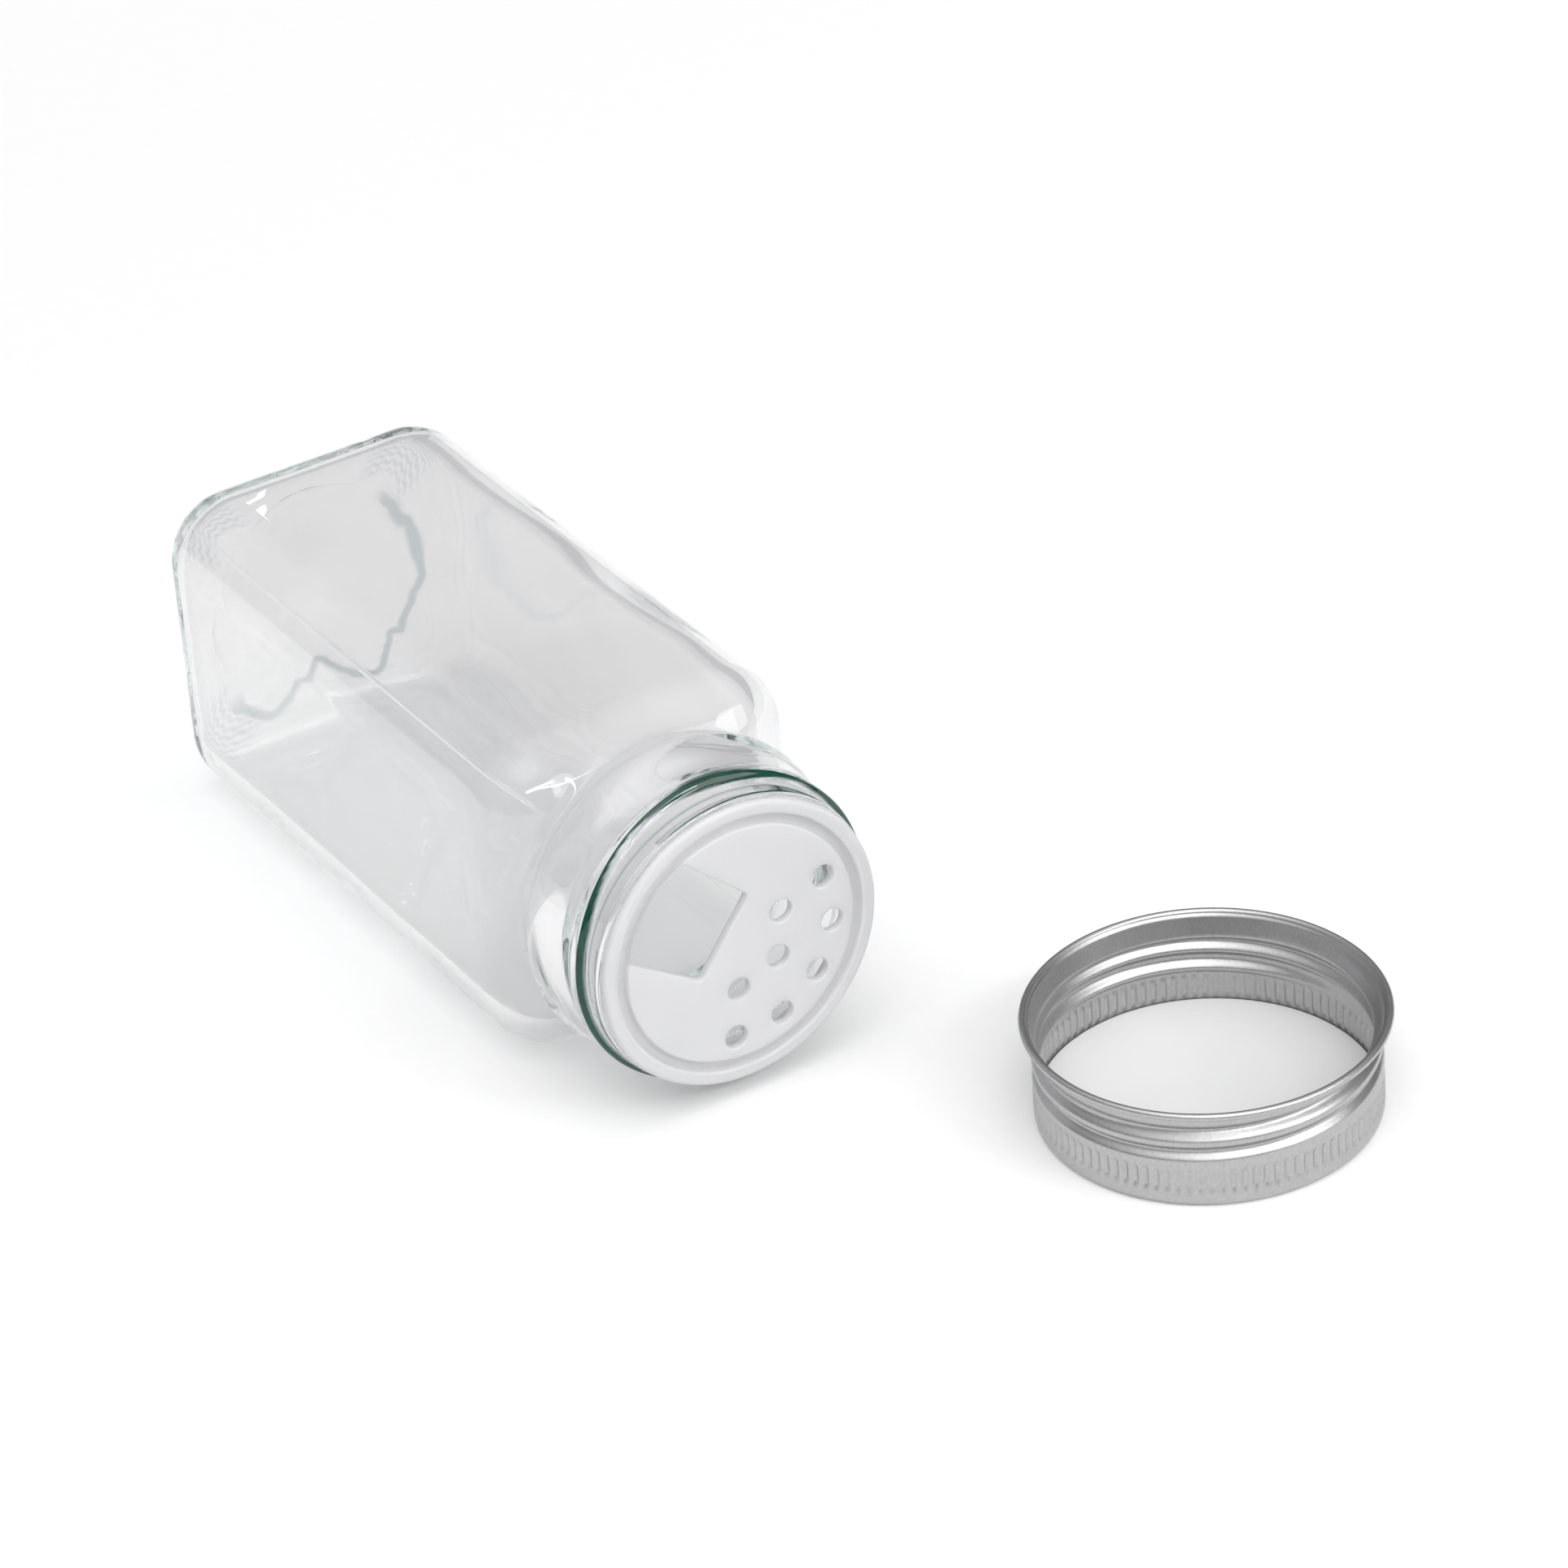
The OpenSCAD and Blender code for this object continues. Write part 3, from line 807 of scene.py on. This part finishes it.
def noise(nodes, links, scale, detail, stretch=(1, 1, 1)):
    place = nodes.new("ShaderNodeTexCoord")
    mapping = nodes.new("ShaderNodeMapping")
    mapping.inputs["Scale"].default_value = stretch
    links.new(place.outputs["Object"], mapping.inputs["Vector"])
    texture = nodes.new("ShaderNodeTexNoise")
    texture.inputs["Scale"].default_value = scale
    texture.inputs["Detail"].default_value = detail
    links.new(mapping.outputs["Vector"], texture.inputs["Vector"])
    return texture.outputs["Fac"]


def bump(nodes, links, shader, height, distance):
    node = nodes.new("ShaderNodeBump")
    node.inputs["Strength"].default_value = 1.0
    node.inputs["Distance"].default_value = distance
    links.new(height, node.inputs["Height"])
    links.new(node.outputs["Normal"], shader.inputs["Normal"])


def spread(nodes, links, source, low, high):
    node = nodes.new("ShaderNodeMapRange")
    node.inputs["To Min"].default_value = low
    node.inputs["To Max"].default_value = high
    links.new(source, node.inputs["Value"])
    return node.outputs["Result"]


def two_colours(nodes, links, source, first, second):
    node = nodes.new("ShaderNodeMix")
    node.data_type = "RGBA"
    node.inputs["A"].default_value = (*first, 1)
    node.inputs["B"].default_value = (*second, 1)
    links.new(source, node.inputs["Factor"])
    return node.outputs["Result"]


def mix_shaders(nodes, links, share, first, second):
    node = nodes.new("ShaderNodeMixShader")
    links.new(share, node.inputs["Fac"])
    links.new(first, node.inputs[1])
    links.new(second, node.inputs[2])
    return node.outputs["Shader"]


def math_of(nodes, links, operation, first, second):
    node = nodes.new("ShaderNodeMath")
    node.operation = operation
    links.new(first, node.inputs[0])
    links.new(second, node.inputs[1])
    return node.outputs[0]


def glass_material():
    material, nodes, links, shader = new_material("clear_glass")
    # The base colour follows the painted-shade attribute: clear glass, painted shade along the settle
    # line and scallops, and a near-black painted ring and line on the neck.
    painted_shade_attribute = nodes.new("ShaderNodeAttribute")
    painted_shade_attribute.attribute_name = "painted_shade"
    painted_shade = nodes.new("ShaderNodeValToRGB")
    painted_shade.color_ramp.elements.new(0.6)
    for element, (at, shade) in zip(painted_shade.color_ramp.elements, GLASS_COLOUR_AND_PAINTED_SHADES):
        element.position = at
        element.color = (*shade, 1)
    links.new(painted_shade_attribute.outputs["Fac"], painted_shade.inputs["Fac"])
    links.new(painted_shade.outputs["Color"], shader.inputs["Base Color"])
    shader.inputs["IOR"].default_value = GLASS_IOR
    shader.inputs["Transmission Weight"].default_value = 1.0
    cloud = noise(nodes, links, 60, 2)
    links.new(spread(nodes, links, cloud, 0.0, 0.012), shader.inputs["Roughness"])
    ripple = noise(nodes, links, 45, 1.5)
    bump(nodes, links, shader, ripple, 0.12 * MM)
    clear = nodes.new("ShaderNodeBsdfTransparent")
    clear.inputs["Color"].default_value = GLASS_SHADOW
    in_shadow = nodes.new("ShaderNodeLightPath").outputs["Is Shadow Ray"]
    mixed = mix_shaders(nodes, links, in_shadow, shader.outputs["BSDF"], clear.outputs["BSDF"])
    output = nodes["Material Output"]
    links.new(mixed, output.inputs["Surface"])
    inside = nodes.new("ShaderNodeVolumeAbsorption")
    inside.inputs["Color"].default_value = GLASS_DEPTH_COLOUR
    inside.inputs["Density"].default_value = GLASS_DEPTH_DENSITY
    links.new(inside.outputs["Volume"], output.inputs["Volume"])
    return material


def insert_material():
    material, nodes, links, shader = new_material("milky_plastic")
    grain = noise(nodes, links, 900, 4)
    cloud = noise(nodes, links, 110, 2)
    colour = two_colours(nodes, links, cloud, *INSERT_COLOURS)
    links.new(colour, shader.inputs["Base Color"])
    links.new(spread(nodes, links, grain, 0.30, 0.44), shader.inputs["Roughness"])
    shader.inputs["Subsurface Weight"].default_value = INSERT_SCATTER
    shader.inputs["Subsurface Radius"].default_value = (1.0, 1.0, 1.0)
    shader.inputs["Subsurface Scale"].default_value = INSERT_SCATTER_REACH
    shader.inputs["Transmission Weight"].default_value = INSERT_CLEAR
    shader.inputs["IOR"].default_value = INSERT_IOR
    bump(nodes, links, shader, grain, 0.012 * MM)
    return material


def cap_material():
    material, nodes, links, shader = new_material("satin_aluminium")
    shader.inputs["Metallic"].default_value = 1.0
    cloud = noise(nodes, links, 160, 3)
    grain = noise(nodes, links, 3200, 3, (1, 1, 0.6))
    colour = two_colours(nodes, links, grain, *CAP_COLOURS)
    links.new(colour, shader.inputs["Base Color"])
    links.new(spread(nodes, links, cloud, 0.32, 0.44), shader.inputs["Roughness"])
    bump(nodes, links, shader, grain, 0.016 * MM)
    return material


def liner_material():
    material, nodes, links, shader = new_material("white_liner")
    cloud = noise(nodes, links, 70, 2)
    grain = noise(nodes, links, 1400, 4)
    colour = two_colours(nodes, links, cloud, *LINER_COLOURS)
    links.new(colour, shader.inputs["Base Color"])
    links.new(spread(nodes, links, grain, 0.5, 0.65), shader.inputs["Roughness"])
    bump(nodes, links, shader, grain, 0.02 * MM)
    return material


# Stage

def make_floor():
    """The floor keeps the shadows, turns white for the camera far away and can't be seen from below."""
    size = FLOOR_HALF
    corners = [(-size, -size, 0), (size, -size, 0), (size, size, 0), (-size, size, 0)]
    mesh = bpy.data.meshes.new("floor")
    mesh.from_pydata(corners, [], [(0, 1, 2, 3)])
    floor = add_object("floor", mesh)
    material, nodes, links, shader = new_material("pale_floor")
    grain = noise(nodes, links, 300, 2)
    colour = two_colours(nodes, links, grain, *FLOOR_COLOURS)
    links.new(colour, shader.inputs["Base Color"])
    shader.inputs["Roughness"].default_value = 0.9
    shader.inputs["Specular IOR Level"].default_value = 0.0
    glow = nodes.new("ShaderNodeEmission")
    rays = nodes.new("ShaderNodeLightPath").outputs
    seen = math_of(nodes, links, "MAXIMUM", rays["Is Camera Ray"], rays["Is Glossy Ray"])
    seen = math_of(nodes, links, "MAXIMUM", seen, rays["Is Transmission Ray"])
    share = nodes.new("ShaderNodeMath")
    share.operation = "MULTIPLY"
    share.inputs[1].default_value = FLOOR_GLOW
    links.new(seen, share.inputs[0])
    links.new(share.outputs[0], glow.inputs["Strength"])
    both = nodes.new("ShaderNodeAddShader")
    links.new(shader.outputs["BSDF"], both.inputs[0])
    links.new(glow.outputs["Emission"], both.inputs[1])
    white = nodes.new("ShaderNodeEmission")
    place = nodes.new("ShaderNodeTexCoord")
    away = nodes.new("ShaderNodeVectorMath")
    away.operation = "LENGTH"
    links.new(place.outputs["Object"], away.inputs[0])
    far = nodes.new("ShaderNodeMapRange")
    far.interpolation_type = "SMOOTHSTEP"
    far.inputs["From Min"].default_value = WHITE_FROM
    far.inputs["From Max"].default_value = WHITE_TO
    links.new(away.outputs["Value"], far.inputs["Value"])
    far_seen = math_of(nodes, links, "MULTIPLY", far.outputs["Result"], rays["Is Camera Ray"])
    paled = mix_shaders(nodes, links, far_seen, both.outputs["Shader"], white.outputs["Emission"])
    gone = nodes.new("ShaderNodeBsdfTransparent")
    below = nodes.new("ShaderNodeNewGeometry").outputs["Backfacing"]
    picked = mix_shaders(nodes, links, below, paled, gone.outputs["BSDF"])
    links.new(picked, nodes["Material Output"].inputs["Surface"])
    mesh.materials.append(material)


def fill_ramp(ramp, stops, blue):
    """Gives a colour ramp its (place, brightness) stops, with the blue channel times blue."""
    while len(ramp.color_ramp.elements) < len(stops):
        ramp.color_ramp.elements.new(0.5)
    for element, (at, value) in zip(ramp.color_ramp.elements, stops):
        element.position = at
        element.color = (value, value, value * blue, 1)


def make_world():
    """White for the camera; a soft bright sky for light and reflections, a paler one through glass."""
    world = bpy.data.worlds.new("studio")
    bpy.context.scene.world = world
    world.use_nodes = True
    nodes, links = world.node_tree.nodes, world.node_tree.links
    back = nodes["Background"]
    place = nodes.new("ShaderNodeTexCoord")
    lean = nodes.new("ShaderNodeVectorMath")
    lean.operation = "DOT_PRODUCT"
    lean.inputs[1].default_value = SKY_LEAN
    links.new(place.outputs["Generated"], lean.inputs[0])
    ramp = nodes.new("ShaderNodeValToRGB")
    links.new(lean.outputs["Value"], ramp.inputs["Fac"])
    fill_ramp(ramp, SKY_STOPS, SKY_BLUE)
    path = nodes.new("ShaderNodeLightPath")
    through = nodes.new("ShaderNodeValToRGB")
    links.new(lean.outputs["Value"], through.inputs["Fac"])
    fill_ramp(through, THROUGH_STOPS, THROUGH_BLUE)
    paler = nodes.new("ShaderNodeMix")
    paler.data_type = "RGBA"
    links.new(path.outputs["Is Transmission Ray"], paler.inputs["Factor"])
    links.new(ramp.outputs["Color"], paler.inputs["A"])
    links.new(through.outputs["Color"], paler.inputs["B"])
    lit = nodes.new("ShaderNodeBackground")
    links.new(paler.outputs["Result"], lit.inputs["Color"])
    lit.inputs["Strength"].default_value = 1.0
    back.inputs["Color"].default_value = (1, 1, 1, 1)
    back.inputs["Strength"].default_value = 1.0
    seen = path.outputs["Is Camera Ray"]
    picked = mix_shaders(nodes, links, seen, lit.outputs["Background"], back.outputs["Background"])
    links.new(picked, nodes["World Output"].inputs["Surface"])


def area_light(name, place, target, size, power, along):
    """A rectangular lamp that looks at target, its width running as near to along as it can."""
    lamp = bpy.data.lights.new(name, "AREA")
    lamp.shape = "RECTANGLE"
    lamp.size, lamp.size_y = size
    lamp.energy = power
    piece = add_object(name, lamp)
    look = (Vector(target) - Vector(place)).normalized()
    side = (Vector(along) - look * look.dot(Vector(along))).normalized()
    piece.location = place
    piece.rotation_euler = Matrix((side, side.cross(look), -look)).transposed().to_euler()


def make_camera():
    camera = bpy.data.cameras.new("camera")
    camera.sensor_width = SENSOR
    camera.lens = CAMERA_LENS
    camera.clip_start, camera.clip_end = 0.01, 50
    piece = add_object("camera", camera)
    back = CAMERA_RIGHT.cross(-CAMERA_DOWN)
    axes = Matrix((CAMERA_RIGHT, -CAMERA_DOWN, back)).transposed()
    piece.matrix_world = Matrix.Translation(CAMERA_PLACE) @ axes.to_4x4()
    bpy.context.scene.camera = piece


def dress(piece, material, body, node):
    """Gives a piece its material, hangs it on its body's empty and hides the CAD node that it stands in
    for.
    """
    piece.data.materials.clear()
    piece.data.materials.append(material)
    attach(piece, body)
    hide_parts(node)


make_camera()
make_world()
make_floor()
for lamp_values in LAMPS:
    area_light(*lamp_values)
dress(make_jar(), glass_material(), "jar", "glass_jar")
dress(make_insert(), insert_material(), "insert", "shaker_insert")
dress(make_cap(), cap_material(), "cap", "screw_cap")
dress(make_liner(), liner_material(), "liner", "cap_liner")
scene = bpy.context.scene
scene.view_settings.view_transform = "Standard"
scene.cycles.max_bounces = BOUNCES
scene.cycles.transmission_bounces = BOUNCES
scene.cycles.glossy_bounces = GLOSSY_BOUNCES
